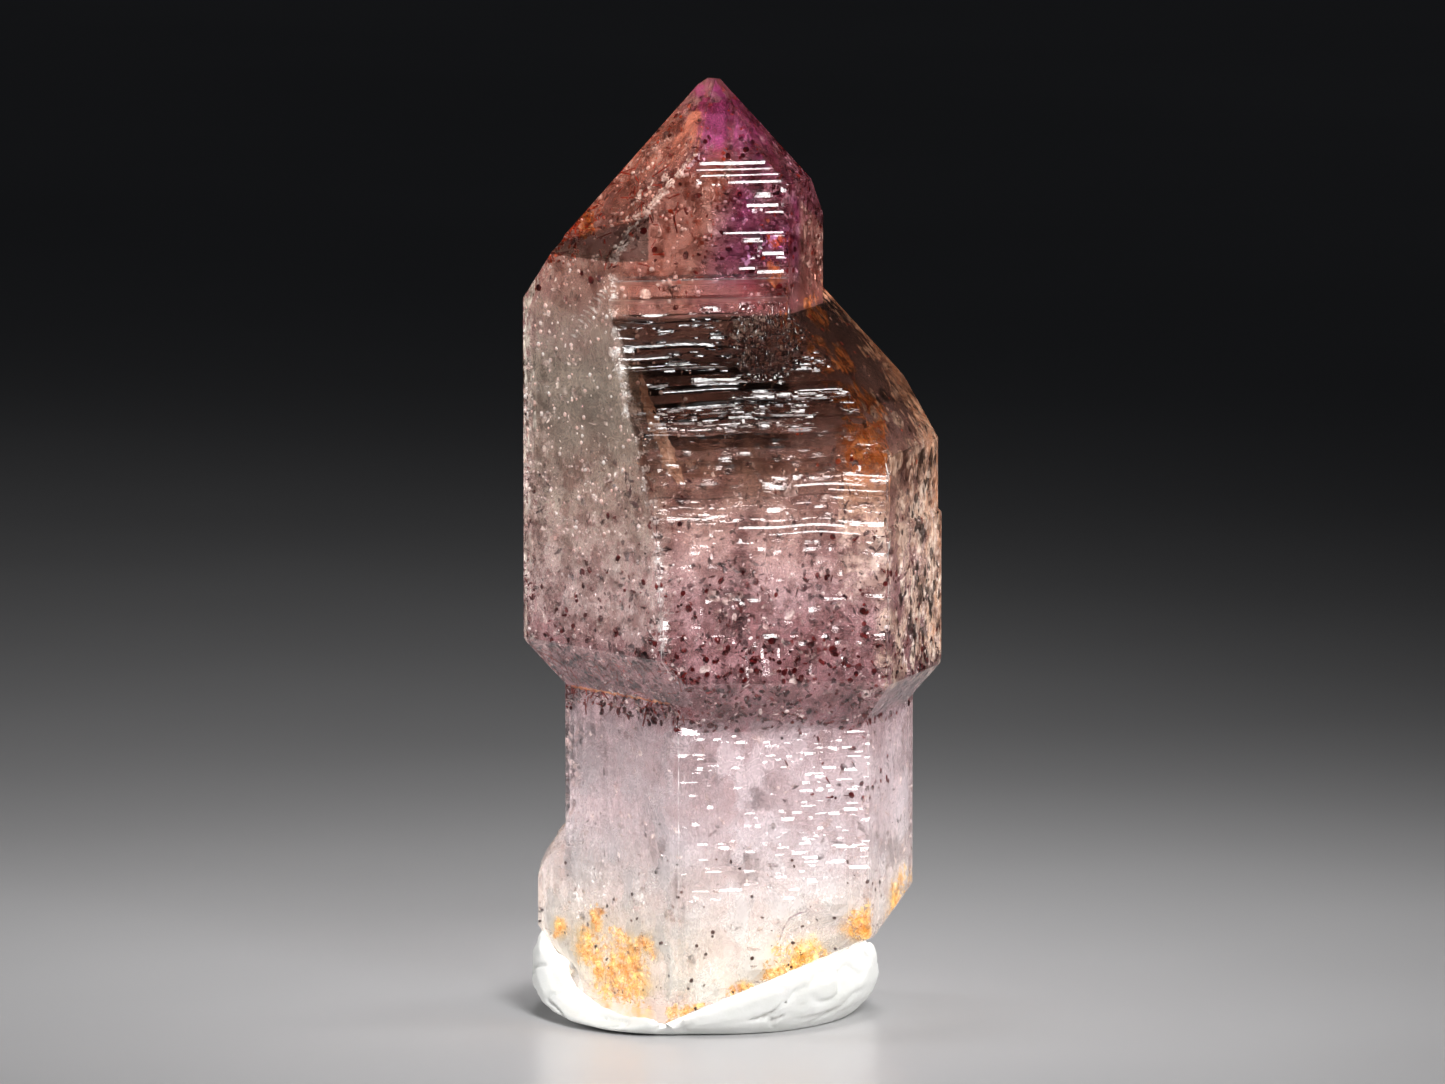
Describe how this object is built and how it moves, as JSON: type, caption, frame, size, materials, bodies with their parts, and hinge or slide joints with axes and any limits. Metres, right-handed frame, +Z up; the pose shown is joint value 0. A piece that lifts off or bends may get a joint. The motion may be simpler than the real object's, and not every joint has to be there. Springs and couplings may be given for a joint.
{
  "type": "included amethyst sceptre crystal",
  "caption": "Amethyst point with a wide six-sided head, a stepped front and a shoulder, on a narrower stem, standing upright in a wad of white display putty.",
  "frame": {"origin": "under the middle of the object's box, on the surface that it stands on", "axes": "+Z up along the crystal's length, -Y towards the stepped front, +X towards the shoulder"},
  "size_m": [0.0222, 0.021, 0.0503],
  "materials": {
    "amethyst": "clear to milky natural quartz, purple tip, smoky middle, mauve and pale lavender below, iron-stained foot",
    "putty": "matt white mineral putty with soft creases"
  },
  "bodies": {
    "root": {"amethyst_crystal": "amethyst", "display_putty": "putty"}
  },
  "joints": []
}
